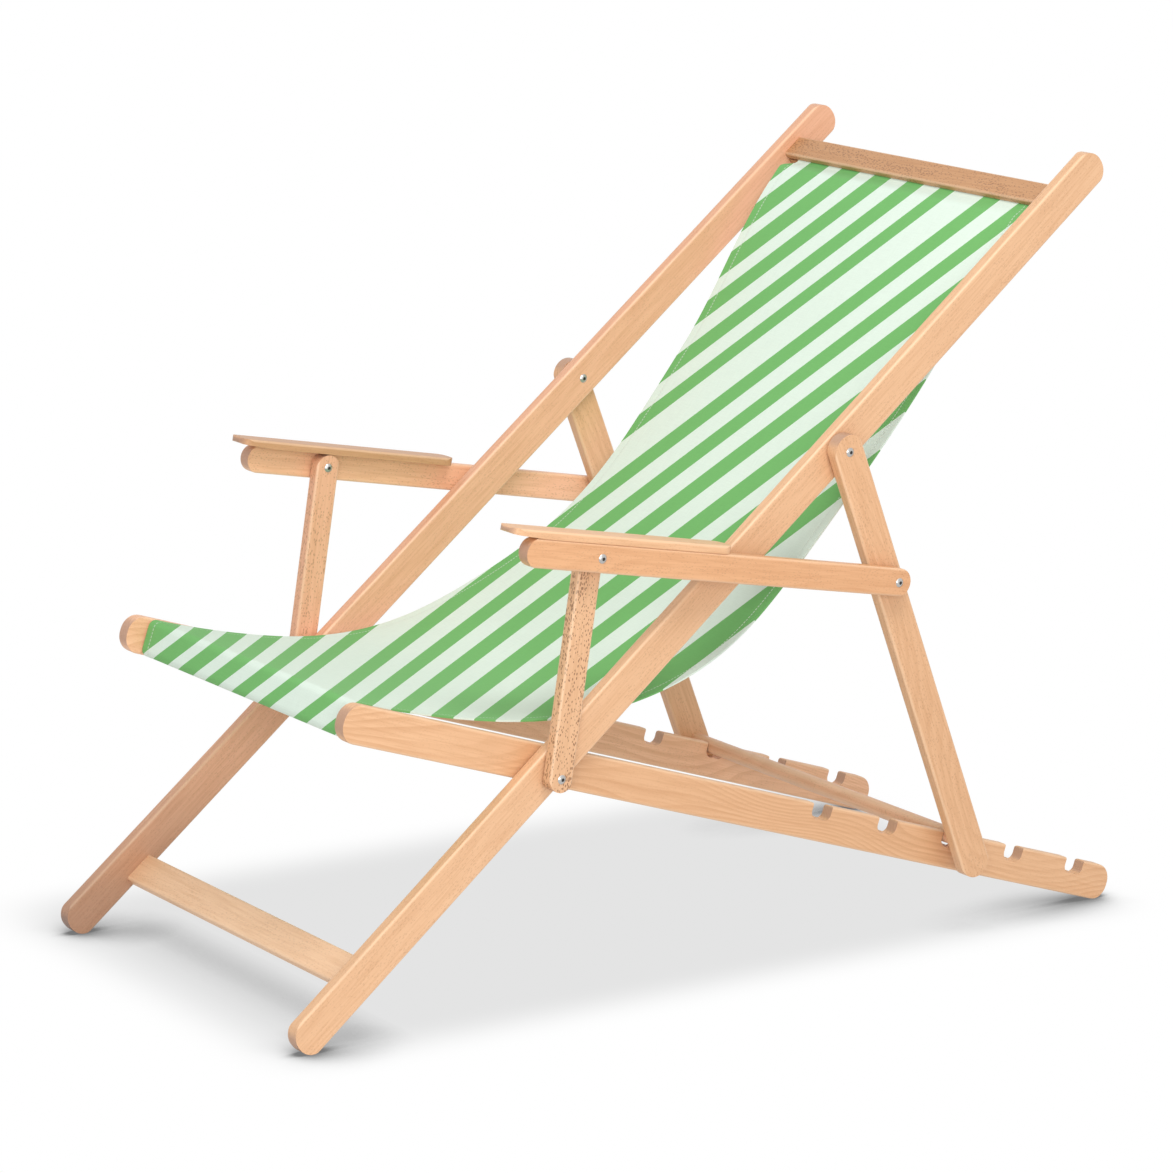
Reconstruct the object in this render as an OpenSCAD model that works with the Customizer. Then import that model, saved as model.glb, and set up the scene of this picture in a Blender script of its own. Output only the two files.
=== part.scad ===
// Folding wooden deck chair with armrests, in its third reclining notch.
// Each side is four layers of boards, from the inside out: short rail, long rail,
// leg and arm post, arm bar. Their pivots share one set of bolts and washers.
// X runs across the chair, -Y is its front, and the floor is Z = 0.

/* [Boards] */
// Thickness of every rail, leg, post and arm bar
board_t = 16; // [12:0.5:24]
// Rounding of the boards' long edges
edge_r = 3; // [1:0.5:4]
// Clear width between the two short rails
clear_w = 440; // [360:5:560]

/* [Long frame] */
// Width of the long rails
long_w = 43; // [41:1:54]
// Length of a long rail in front of the seat pivot
long_front = 407; // [340:0.5:480]
// Length of a long rail behind the seat pivot
long_rear = 978; // [880:0.5:1060]
// How far the seat pivot lies below a long rail's centre line
long_pivot_drop = 5.5; // [0:0.5:8]
// Distance along a long rail from the seat pivot to the leg pivot
leg_pivot_at = 501; // [440:1:520]
// Rounding of the rails' end corners
rail_end_r = 20; // [8:1:20]
// Height of the board between the tops of the long rails
top_board_h = 31; // [24:1:45]
// Thickness of that board
top_board_t = 18; // [16:0.5:22]
// Length of long rail above the middle of that board
top_board_down = 71; // [50:0.5:110]
// Width of the flat stretcher near the front feet
stretcher_h = 38; // [26:1:50]
// Thickness of the stretcher
stretcher_t = 13.5; // [12:0.5:18]
// Distance along a long rail from the seat pivot to the stretcher's middle
stretcher_at = 301; // [200:1:340]

/* [Seat frame] */
// Width of the short rails
short_w = 43; // [41:1:54]
// Length of a short rail in front of the seat pivot
short_front = 271; // [255:1:300]
// Length of a short rail behind the seat pivot
short_rear = 875.5; // [850:0.5:930]
// How far the seat pivot lies below a short rail's centre line
short_pivot_drop = 8; // [0:0.5:9]
// Height of the front bar
front_bar_h = 39; // [32:1:42]
// Thickness of the front bar
front_bar_t = 18; // [16:0.5:22]
// Distance from the seat pivot to the middle of the front bar
front_bar_at = 237; // [225:1:245]
// Rounding of the front bar's edges
front_bar_r = 7; // [4:0.5:8]

/* [Reclining notches] */
// Number of notches
notch_count = 5; // [3:1:5]
// The notch that the prop bar lies in
rest_notch = 3; // [2:1:3]
// Distance from the seat pivot to the first notch
notch_first = 404.6; // [395:1:410]
// Distance between notches
notch_pitch = 102.5; // [95:0.5:104]
// Width of a notch
notch_w = 29; // [28.5:0.5:34]
// Depth of a notch
notch_d = 13.5; // [12:0.5:14]
// Rounding at the bottom of a notch
notch_r = 9; // [6:0.5:9.5]
// Rounding of a notch's front lip
notch_front_lip = 1; // [0.5:0.5:4]
// Rounding of a notch's rear lip, over which the prop bar swings out
notch_rear_lip = 3; // [2.5:0.5:4]

/* [Prop legs] */
// Width of the legs
leg_w = 40; // [34:1:46]
// Distance along a leg from its pivot to the prop bar
leg_to_prop = 522.7; // [500:0.5:545]
// Length of the foot below the prop bar
leg_foot = 45; // [32:1:60]
// Distance along a leg from its pivot to the arm bar's pivot
leg_to_arm = 165; // [140:1:190]
// Width of the prop bar, across the notch
prop_w = 18.5; // [16:0.5:19]
// Height of the prop bar
prop_h = 19; // [17:0.5:22]
// Rounding of the prop bar's edges
prop_r = 8; // [5:0.5:8]
// Radius of the prop bar's round tenons
prop_tenon_r = 7; // [5:0.5:8]

/* [Arms] */
// Distance between the two pivots of a post
post_len = 246.5; // [220:0.5:270]
// Width of the posts
post_w = 30; // [26:1:31]
// Width of the arm bars
arm_w = 32; // [30:1:38]
// Length of an arm bar in front of its front pivot
arm_front = 100; // [70:1:120]
// Length of an armrest board in front of the arm bar's front pivot
pad_front = 121; // [105:1:150]
// Length of an armrest board behind that pivot
pad_rear = 178; // [140:1:240]
// Gap between an armrest board and the long rail beside it
pad_gap = 1.5; // [0.5:0.5:4]
// Thickness of the armrest boards
pad_t = 9; // [7:0.5:14]
// Thickness of an armrest board at its round front lip
pad_lip_t = 7; // [4:0.5:7]
// Length of the lip's taper
pad_taper = 42; // [20:1:60]
// Corner rounding of the armrest boards
pad_corner = 14; // [3:1:16]

/* [Bolts and joinery] */
// Radius of the pivot bolts
bolt_r = 3; // [2.5:0.25:4]
// Running clearance of a bolt in its bores, on the radius
bolt_play = 0.08; // [0.02:0.01:0.1]
// Radius of the domed bolt heads
head_r = 5.2; // [4.5:0.1:6.5]
// Height of the domed bolt heads
head_h = 2.1; // [1.6:0.1:2.1]
// Width of the hexagon socket, corner to corner
socket_w = 4.4; // [3:0.1:5]
// Depth of the hexagon socket
socket_d = 1.1; // [0.6:0.1:1.4]
// Gap between two layers of boards, which a washer fills
layer_gap = 2.5; // [2.4:0.1:4]
// Clearance on each side of a washer and under a bolt head
washer_play = 0.1; // [0.05:0.05:0.2]
// Outer radius of the washers
washer_r = 8.5; // [7:0.5:10]
// Length of the tenons
tenon_len = 9; // [6:0.5:10]
// Set-back of a tenon from the faces of its board
tenon_in = 3; // [2:0.5:3.5]
// Clearance of a tenon in its mortise
tenon_fit = 0.1; // [0.05:0.05:0.2]

/* [Sling] */
// Thickness of the fabric
sling_t = 1.8; // [1.2:0.1:2.2]
// Gap between the fabric's edge and a short rail
sling_side_gap = 3; // [1:0.5:10]
// Gap between the fabric and the wood that it wraps
sling_gap = 0.3; // [0.3:0.1:0.6]
// Slope at which the fabric leaves the front bar, below the horizontal
sling_front_slope = 15.8; // [8:0.1:22]
// Slope at which the fabric leaves the top board
sling_top_slope = 50.9; // [44:0.1:58]
// Pull of the front slope on the curve
sling_front_pull = 535; // [440:1:620]
// Pull of the top slope on the curve
sling_top_pull = 489; // [400:1:560]
// Radius of the rods in the fabric's hems
hem_rod_r = 2.4; // [1.8:0.1:2.6]

/* [Hidden] */

$fn = 64;
beech = [0.87, 0.68, 0.49];
steel = [0.62, 0.62, 0.63];
cloth = [0.72, 0.88, 0.69];
// A little more than nothing, for cuts that pass a face
eps = 0.5;

// The four layers of boards, as distances from the middle of the chair
x_short = clear_w / 2;
x_long = x_short + board_t + layer_gap;
x_leg = x_long + board_t + layer_gap;
x_arm = x_leg + board_t + layer_gap;

// The middle of the prop bar, from the seat pivot, along and above a short rail
prop_gap = 0.4;
prop_front_gap = 1;
prop_along = notch_first + (rest_notch - 1) * notch_pitch - (notch_w - prop_w) / 2 + prop_front_gap;
prop_above = short_pivot_drop + short_w / 2 - notch_d + prop_gap + prop_h / 2;

// The angle between the two frames follows from the triangle of leg and pivots
pivot_gap = norm([leg_pivot_at, long_pivot_drop]);
prop_reach = norm([prop_along, prop_above]);
corner = acos((pow(pivot_gap, 2) + pow(prop_reach, 2) - pow(leg_to_prop, 2)) / (2 * pivot_gap * prop_reach));
spread = corner - atan2(long_pivot_drop, leg_pivot_at) + atan2(prop_above, prop_along);

// Both frames stand on the lower corner of their ends
long_foot = [long_front - rail_end_r, long_pivot_drop - long_w / 2 + rail_end_r];
short_foot = [short_rear - rail_end_r, short_pivot_drop - short_w / 2 + rail_end_r];
long_tilt = atan2(long_foot[1] + short_foot[0] * sin(spread) - short_foot[1] * cos(spread),
    long_foot[0] + short_foot[0] * cos(spread) + short_foot[1] * sin(spread));
short_tilt = long_tilt - spread;

// Y = 0 lies half way between the front feet and the rear ends
front_reach = rail_end_r + long_foot[0] * cos(long_tilt)
    + (long_pivot_drop + long_w / 2 - rail_end_r) * sin(long_tilt);
rear_reach = rail_end_r + short_foot[0] * cos(short_tilt)
    - (short_pivot_drop + short_w / 2 - rail_end_r) * sin(short_tilt);
seat_pivot = [(front_reach - rear_reach) / 2,
    rail_end_r + long_foot[0] * sin(long_tilt) - long_foot[1] * cos(long_tilt)];

// A point given along and above a line of slope a through p, in the side plane
function at(p, a, u, v) = [p[0] + u * cos(a) - v * sin(a), p[1] + u * sin(a) + v * cos(a)];
function heading(a) = [cos(a), sin(a)];
function slope(p, q) = atan2(q[1] - p[1], q[0] - p[0]);

leg_pivot = at(seat_pivot, long_tilt, leg_pivot_at, long_pivot_drop);
prop_mid = at(seat_pivot, short_tilt, prop_along, prop_above);
leg_tilt = slope(leg_pivot, prop_mid);
arm_pivot = at(leg_pivot, leg_tilt, leg_to_arm, 0);

// Post and arm bar are together as long as the line from the seat pivot over the
// leg pivot to the arm pivot, so that the arms lie flat when the legs are folded
arm_len = pivot_gap + leg_to_arm - post_len;
post_span = norm(arm_pivot - seat_pivot);
post_turn = acos((pow(post_len, 2) + pow(post_span, 2) - pow(arm_len, 2)) / (2 * post_len * post_span));
post_tilt = slope(seat_pivot, arm_pivot) + post_turn;
post_top = at(seat_pivot, post_tilt, post_len, 0);
arm_tilt = slope(post_top, arm_pivot);

// Sling: its hems lie in grooves, and its free span is one curve between them
sling_x = x_short - sling_side_gap;
hem_r = hem_rod_r + sling_gap + sling_t;
groove_fit = 0.4;
groove_r = hem_r + groove_fit;
slot_fit = 0.6;
groove_slot = sling_t + 2 * slot_fit;
top_board_at = long_rear - top_board_down;
hem_in = 10;
hem_mid = at(seat_pivot, long_tilt, top_board_at - top_board_h / 2 + hem_in, long_pivot_drop);
exit_out = 0.5;
top_exit = at(hem_mid, long_tilt, -hem_in - exit_out, 0);
front_groove_at = -2;

// The free span ends on an arc about the seat pivot, just inside the wrap's rear
// face, so that the seat frame can turn past it
wrap_top = short_pivot_drop + front_bar_h / 2 + sling_gap + sling_t / 2;
span_end_r = front_bar_at - front_bar_t / 2 - sling_gap - sling_t - 0.5;
span_end = sqrt(pow(span_end_r, 2) - pow(wrap_top + sling_t / 2, 2));
wrap_end = sqrt(pow(span_end_r + 0.4, 2) - pow(wrap_top - sling_t / 2, 2));
seat_start = at(seat_pivot, short_tilt, -span_end, wrap_top);
sling_steps = 40;
loop_steps = 24;
function bezier(t) = pow(1 - t, 3) * seat_start
    + 3 * pow(1 - t, 2) * t * at(seat_start, -sling_front_slope, sling_front_pull, 0)
    + 3 * (1 - t) * t * t * at(top_exit, sling_top_slope, -sling_top_pull, 0)
    + pow(t, 3) * top_exit;
function way(t) = bezier(min(1, t + 0.001)) - bezier(max(0, t - 0.001));
function side(t, s) = bezier(t) + s * [-way(t)[1], way(t)[0]] / norm(way(t));

// Stands a shape drawn in the side plane up across x0 to x1
module across(x0, x1) {
    translate([x0, 0, 0])
        rotate([90, 0, 90])
            linear_extrude(x1 - x0)
                children();
}

// Frame of a board: +Y runs along the board and +Z across it, from point p
module along(p, a) {
    translate([0, p[0], p[1]])
        rotate([a, 0, 0])
            children();
}

// Rectangle with round corners about the origin
module rounded(w, h, r) {
    square([w - 2 * r, h], center = true);
    square([w, h - 2 * r], center = true);
    for (i = [-1, 1], j = [-1, 1])
        translate([i * (w / 2 - r), j * (h / 2 - r)])
            circle(r);
}

// Board from y0 to y1 with round long edges, and corners rounded by end_r
module board(x0, t, y0, y1, w, end_r) {
    intersection() {
        translate([x0 + t / 2, y0, 0])
            rotate([-90, 0, 0])
                linear_extrude(y1 - y0)
                    rounded(t, w, edge_r);
        across(x0, x0 + t)
            translate([(y0 + y1) / 2, 0])
                rounded(y1 - y0, w, end_r);
    }
}

// Cross member between two layers, its section w by h, with a tenon at each end
module cross_member(x, w, h, r) {
    across(-x, x)
        rounded(w, h, r);
    translate([-x - tenon_len, -w / 2 + tenon_in, -h / 2 + tenon_in])
        cube([2 * (x + tenon_len), w - 2 * tenon_in, h - 2 * tenon_in]);
}

// Blind mortise for such a tenon, in the inner face at x
module mortise(x, w, h) {
    g = 2 * tenon_fit;
    translate([x - eps, -w / 2 + tenon_in - tenon_fit, -h / 2 + tenon_in - tenon_fit])
        cube([tenon_len + tenon_fit + eps, w - 2 * tenon_in + g, h - 2 * tenon_in + g]);
}

// Bore for a pivot bolt through the layer at x
module pivot_bore(x, y, z) {
    translate([x - eps, y, z])
        rotate([0, 90, 0])
            cylinder(r = bolt_r + bolt_play, h = board_t + 2 * eps);
}

// Domed head with a hexagon socket, seated on x = 0 and standing up along +X
module bolt_head() {
    rotate([0, 90, 0])
        difference() {
            rotate_extrude()
                intersection() {
                    translate([0, head_h - (pow(head_r, 2) + pow(head_h, 2)) / (2 * head_h)])
                        circle((pow(head_r, 2) + pow(head_h, 2)) / (2 * head_h), $fn = 128);
                    square([head_r, head_h]);
                }
            translate([0, 0, head_h - socket_d])
                cylinder(r = socket_w / 2, h = socket_d + eps, $fn = 6);
        }
}

// Bolt through layers from x0 to x1, with a head at the inner end, the outer end,
// or both, and the plain end of a half bolt set back from its face
module pivot_bolt(x0, x1, inner, outer) {
    a = inner ? x0 - washer_play : x0 + washer_play;
    b = outer ? x1 + washer_play : x1 - washer_play;
    translate([a, 0, 0])
        rotate([0, 90, 0])
            cylinder(r = bolt_r, h = b - a);
    if (outer)
        translate([b, 0, 0])
            bolt_head();
    if (inner)
        translate([a, 0, 0])
            mirror([1, 0, 0])
                bolt_head();
}

// Washer that fills the gap inside the layer at x
module washer(x) {
    translate([x - layer_gap + washer_play, 0, 0])
        rotate([0, 90, 0])
            difference() {
                cylinder(r = washer_r, h = layer_gap - 2 * washer_play);
                translate([0, 0, -eps])
                    cylinder(r = bolt_r + bolt_play, h = layer_gap + 2 * eps);
            }
}

// Left side as drawn, right side as its mirror image
module on_side(s) {
    if (s > 0)
        children();
    else
        mirror([1, 0, 0])
            children();
}

module long_rail(s) {
    color(beech)
        on_side(s)
            along(seat_pivot, long_tilt)
                difference() {
                    translate([0, 0, long_pivot_drop])
                        board(x_long, board_t, -long_front, long_rear, long_w, rail_end_r);
                    pivot_bore(x_long, 0, 0);
                    pivot_bore(x_long, leg_pivot_at, long_pivot_drop);
                    translate([0, top_board_at, long_pivot_drop])
                        mortise(x_long, top_board_h, top_board_t);
                    translate([0, -stretcher_at, long_pivot_drop - (long_w - stretcher_t) / 2])
                        mortise(x_long, stretcher_h, stretcher_t);
                }
}

module top_board() {
    color(beech)
        along(seat_pivot, long_tilt)
            translate([0, top_board_at, long_pivot_drop])
                difference() {
                    cross_member(x_long, top_board_h, top_board_t, edge_r);
                    translate([-x_long, hem_in - top_board_h / 2, 0])
                        rotate([0, 90, 0])
                            cylinder(r = groove_r, h = 2 * x_long);
                    translate([-x_long, -top_board_h / 2 - eps, -groove_slot / 2])
                        cube([2 * x_long, hem_in + eps, groove_slot]);
                }
}

module foot_stretcher() {
    color(beech)
        along(seat_pivot, long_tilt)
            translate([0, -stretcher_at, long_pivot_drop - (long_w - stretcher_t) / 2])
                cross_member(x_long, stretcher_h, stretcher_t, edge_r);
}

// Notch in the upper edge of a short rail, its two lips rounded
module notch() {
    across(x_short - eps, x_short + board_t + eps) {
        translate([0, -notch_d / 2])
            rounded(notch_w, notch_d, notch_r);
        translate([-notch_w / 2, -notch_d + notch_r])
            square([notch_w, notch_d - notch_r + eps]);
        for (lip = [[-1, notch_front_lip], [1, notch_rear_lip]])
            difference() {
                translate([lip[0] * (notch_w + lip[1]) / 2, (eps - lip[1]) / 2])
                    square([lip[1] + 0.01, lip[1] + eps], center = true);
                translate([lip[0] * (notch_w / 2 + lip[1]), -lip[1]])
                    circle(lip[1]);
            }
    }
}

module short_rail(s) {
    color(beech)
        on_side(s)
            along(seat_pivot, short_tilt)
                difference() {
                    translate([0, 0, short_pivot_drop])
                        board(x_short, board_t, -short_front, short_rear, short_w, rail_end_r);
                    pivot_bore(x_short, 0, 0);
                    for (k = [0:notch_count - 1])
                        translate([0, notch_first + k * notch_pitch, short_pivot_drop + short_w / 2])
                            notch();
                    translate([0, -front_bar_at, short_pivot_drop])
                        mortise(x_short, front_bar_t, front_bar_h);
                }
}

module front_bar() {
    color(beech)
        along(seat_pivot, short_tilt)
            translate([0, -front_bar_at, short_pivot_drop])
                difference() {
                    cross_member(x_short, front_bar_t, front_bar_h, front_bar_r);
                    translate([-x_short, front_groove_at, 0])
                        rotate([0, 90, 0])
                            cylinder(r = groove_r, h = 2 * x_short);
                    translate([-x_short, front_groove_at, -groove_slot / 2])
                        cube([2 * x_short, front_bar_t, groove_slot]);
                }
}

module leg(s) {
    color(beech)
        on_side(s)
            along(leg_pivot, leg_tilt)
                difference() {
                    board(x_leg, board_t, -leg_w / 2, leg_to_prop + leg_foot, leg_w, leg_w / 2 - 0.01);
                    pivot_bore(x_leg, 0, 0);
                    pivot_bore(x_leg, leg_to_arm, 0);
                    translate([x_leg - eps, leg_to_prop, 0])
                        rotate([0, 90, 0])
                            cylinder(r = prop_tenon_r + tenon_fit, h = tenon_len + tenon_fit + eps);
                }
}

module prop_bar() {
    color(beech)
        along(prop_mid, short_tilt) {
            across(-x_leg, x_leg)
                rounded(prop_w, prop_h, prop_r);
            translate([-x_leg - tenon_len, 0, 0])
                rotate([0, 90, 0])
                    cylinder(r = prop_tenon_r, h = 2 * (x_leg + tenon_len));
        }
}

module post(s) {
    color(beech)
        on_side(s)
            along(seat_pivot, post_tilt)
                difference() {
                    board(x_leg, board_t, -post_w / 2, post_len + post_w / 2, post_w, post_w / 2 - 0.01);
                    pivot_bore(x_leg, 0, 0);
                    pivot_bore(x_leg, post_len, 0);
                }
}

module arm_bar(s) {
    color(beech)
        on_side(s)
            along(post_top, arm_tilt)
                difference() {
                    board(x_arm, board_t, -arm_front, arm_len + arm_w / 2, arm_w, arm_w / 2 - 0.01);
                    pivot_bore(x_arm, 0, 0);
                    pivot_bore(x_arm, arm_len, 0);
                }
}

// Armrest board: flat below on the arm bar, its lip tapered from below, its upper
// edges rounded and its corners round in plan
module armrest(s) {
    x0 = x_long + board_t + pad_gap;
    x1 = x_arm + board_t;
    lip_r = pad_lip_t / 2;
    color(beech)
        on_side(s)
            along(post_top, arm_tilt)
                intersection() {
                    translate([(x0 + x1) / 2, (pad_rear - pad_front) / 2, arm_w / 2 - eps])
                        linear_extrude(pad_t + 2 * eps)
                            rounded(x1 - x0, pad_rear + pad_front, pad_corner);
                    across(x0 - eps, x1 + eps)
                        translate([-pad_front, arm_w / 2]) {
                            translate([lip_r, pad_t - lip_r])
                                circle(lip_r);
                            polygon([[lip_r, pad_t], [lip_r, pad_t - pad_lip_t], [pad_taper, 0],
                                [pad_front + pad_rear + eps, 0], [pad_front + pad_rear + eps, pad_t]]);
                        }
                    translate([(x0 + x1) / 2, -pad_front - eps, arm_w / 2 + pad_t / 2 - edge_r / 2])
                        rotate([-90, 0, 0])
                            linear_extrude(pad_front + pad_rear + 2 * eps)
                                rounded(x1 - x0, pad_t + edge_r, edge_r);
                }
}

module seat_pivot_bolts() {
    color(steel)
        for (s = [-1, 1])
            on_side(s)
                along(seat_pivot, 0)
                    pivot_bolt(x_short, x_leg + board_t, true, true);
}

module leg_pivot_bolts() {
    color(steel)
        for (s = [-1, 1])
            on_side(s)
                along(leg_pivot, 0)
                    pivot_bolt(x_long, x_leg + board_t, true, true);
}

module arm_front_bolt(s) {
    color(steel)
        on_side(s)
            along(post_top, 0)
                pivot_bolt(x_leg, x_arm + board_t, true, true);
}

// The rear pivot of each arm is in two halves, one in the arm bar and one in the leg
module arm_rear_bolt(s) {
    color(steel)
        on_side(s)
            along(arm_pivot, 0)
                pivot_bolt(x_arm, x_arm + board_t, false, true);
}

module arm_rear_caps() {
    color(steel)
        for (s = [-1, 1])
            on_side(s)
                along(arm_pivot, 0)
                    pivot_bolt(x_leg, x_leg + board_t, true, false);
}

module seat_pivot_washers() {
    color(steel)
        for (s = [-1, 1], x = [x_long, x_leg])
            on_side(s)
                along(seat_pivot, 0)
                    washer(x);
}

module leg_pivot_washers() {
    color(steel)
        for (s = [-1, 1])
            on_side(s)
                along(leg_pivot, 0)
                    washer(x_leg);
}

module arm_rear_washers() {
    color(steel)
        for (s = [-1, 1])
            on_side(s)
                along(arm_pivot, 0)
                    washer(x_arm);
}

module arm_front_washer(s) {
    color(steel)
        on_side(s)
            along(post_top, 0)
                washer(x_arm);
}

// Loop of fabric round a hem rod, with its tail running out along +X of the sketch
module hem(tail) {
    difference() {
        union() {
            circle(hem_r);
            translate([0, -sling_t / 2])
                square([tail, sling_t]);
        }
        circle(hem_rod_r + sling_gap);
    }
}

// The free span: a deep curve from just behind the front bar up to the top board,
// and on into the groove round its hem rod
module sling() {
    mouth = asin(sling_t / 2 / hem_r);
    turn = (360 - 2 * mouth) / loop_steps;
    color(cloth)
        across(-sling_x, sling_x)
            difference() {
                polygon(concat([for (i = [0:sling_steps]) side(i / sling_steps, sling_t / 2)],
                    [for (k = [0:loop_steps]) hem_mid + hem_r * heading(long_tilt + 180 - mouth - k * turn)],
                    [for (i = [sling_steps:-1:0]) side(i / sling_steps, -sling_t / 2)]));
                translate(hem_mid)
                    circle(hem_rod_r + sling_gap);
            }
}

// The front end: over the bar's top, down its front, and back into its rear groove
module front_wrap() {
    g = sling_gap;
    o = sling_gap + sling_t;
    color(cloth)
        along(seat_pivot, short_tilt)
            translate([0, -front_bar_at, short_pivot_drop])
                across(-sling_x, sling_x) {
                    difference() {
                        rounded(front_bar_t + 2 * o, front_bar_h + 2 * o, front_bar_r + o);
                        rounded(front_bar_t + 2 * g, front_bar_h + 2 * g, front_bar_r + g);
                        translate([0, -sling_t / 2])
                            square([front_bar_t, front_bar_h]);
                    }
                    translate([-0.01, front_bar_h / 2 + g])
                        square([front_bar_at - wrap_end, sling_t]);
                    translate([front_groove_at, 0])
                        hem(front_bar_t / 2 + o - front_groove_at);
                }
}

module top_hem_rod() {
    color(beech)
        along(seat_pivot, long_tilt)
            translate([-sling_x, top_board_at - top_board_h / 2 + hem_in, long_pivot_drop])
                rotate([0, 90, 0])
                    cylinder(r = hem_rod_r, h = 2 * sling_x);
}

module front_hem_rod() {
    color(beech)
        along(seat_pivot, short_tilt)
            translate([-sling_x, front_groove_at - front_bar_at, short_pivot_drop])
                rotate([0, 90, 0])
                    cylinder(r = hem_rod_r, h = 2 * sling_x);
}

long_rail(1);  // long_rail_left
long_rail(-1);  // long_rail_right
top_board();
foot_stretcher();
short_rail(1);  // short_rail_left
short_rail(-1);  // short_rail_right
front_bar();
leg(1);  // leg_left
leg(-1);  // leg_right
prop_bar();
post(1);  // post_left
post(-1);  // post_right
arm_bar(1);  // arm_bar_left
arm_bar(-1);  // arm_bar_right
armrest(1);  // armrest_left
armrest(-1);  // armrest_right
seat_pivot_bolts();
leg_pivot_bolts();
arm_front_bolt(1);  // arm_front_bolt_left
arm_front_bolt(-1);  // arm_front_bolt_right
arm_rear_bolt(1);  // arm_rear_bolt_left
arm_rear_bolt(-1);  // arm_rear_bolt_right
arm_rear_caps();
seat_pivot_washers();
leg_pivot_washers();
arm_rear_washers();
arm_front_washer(1);  // arm_front_washer_left
arm_front_washer(-1);  // arm_front_washer_right
sling();
front_wrap();
top_hem_rod();
front_hem_rod();
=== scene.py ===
# %% [markdown]
# # A folding deck chair with armrests
# The chair's boards, bolts and washers come ready from the CAD model, at their real size.
# This lesson gives them a wood and a metal finish, hangs the striped cloth sling between them,
# and sets up a plain studio to look at the result.

# %% Load the frame
import math
import bpy
from mathutils import Matrix, Vector


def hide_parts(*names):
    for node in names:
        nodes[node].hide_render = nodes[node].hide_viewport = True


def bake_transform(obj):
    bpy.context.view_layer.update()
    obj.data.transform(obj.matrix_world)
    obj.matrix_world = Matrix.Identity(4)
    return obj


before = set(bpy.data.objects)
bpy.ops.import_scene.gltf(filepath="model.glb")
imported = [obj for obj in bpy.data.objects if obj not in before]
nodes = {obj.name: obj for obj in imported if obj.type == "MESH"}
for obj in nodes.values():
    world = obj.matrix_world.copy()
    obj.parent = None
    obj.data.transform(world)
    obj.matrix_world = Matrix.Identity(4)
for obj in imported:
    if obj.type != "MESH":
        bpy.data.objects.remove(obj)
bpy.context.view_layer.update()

# %% [markdown]
# Every operator acts on all that is selected, and loading leaves the CAD nodes selected.
# So each step starts by letting go of everything. The boards' rounded edges would show their
# flat facets, so each node is shaded smooth, while corners sharper than one angle stay crisp.

# %% A clean start
CRISP_ANGLE = math.radians(32)


def let_go():
    """Deselects everything, so that the next operator acts on the new piece alone."""
    if bpy.context.mode != "OBJECT":
        bpy.ops.object.mode_set(mode="OBJECT")
    bpy.ops.object.select_all(action="DESELECT")


def take(piece):
    """Selects one piece and makes it the active one."""
    let_go()
    piece.select_set(True)
    bpy.context.view_layer.objects.active = piece


for node_object in nodes.values():
    take(node_object)
    bpy.ops.object.shade_smooth_by_angle(angle=CRISP_ANGLE)
let_go()
print("shaded", len(nodes), "nodes")

# %% [markdown]
# ## The studio
# The camera stands to the sitter's left, in front of the chair and a little above it.
# A long lens from five metres away keeps the boards' far ends nearly as large as the near ones,
# as in a catalogue picture. The photograph was taken with the camera rolled a little to one
# side, so it first looks at a point in the chair's middle, and is then rolled about that line.

# %% The camera
EYE = Vector((4.0173, -2.9447, 1.5240))
AIM = Vector((0.0, -0.03797, 0.40099))
ROLL = math.radians(1.8673)
LENS = 135.74

camera_data = bpy.data.cameras.new("camera")
camera_data.sensor_width = 36.0
camera_data.lens = LENS
camera_data.clip_start = 0.1
camera_data.clip_end = 60.0
camera = bpy.data.objects.new("camera", camera_data)
bpy.context.scene.collection.objects.link(camera)
level = (AIM - EYE).to_track_quat("-Z", "Y").to_matrix().to_4x4()
camera.matrix_world = Matrix.Translation(EYE) @ level @ Matrix.Rotation(ROLL, 4, "Z")
bpy.context.scene.camera = camera
bpy.context.scene.view_settings.view_transform = "Standard"
print("camera at", tuple(camera.location), "lens", LENS)

# %% [markdown]
# A material is a net of small nodes, which would be drawn with the mouse. In a script, a helper
# keeps each node to one line: it adds the node, feeds its inputs with plain values or with other
# nodes' outputs, and returns what the next node reads. The same helper fills the world and the
# node groups further down.

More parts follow.
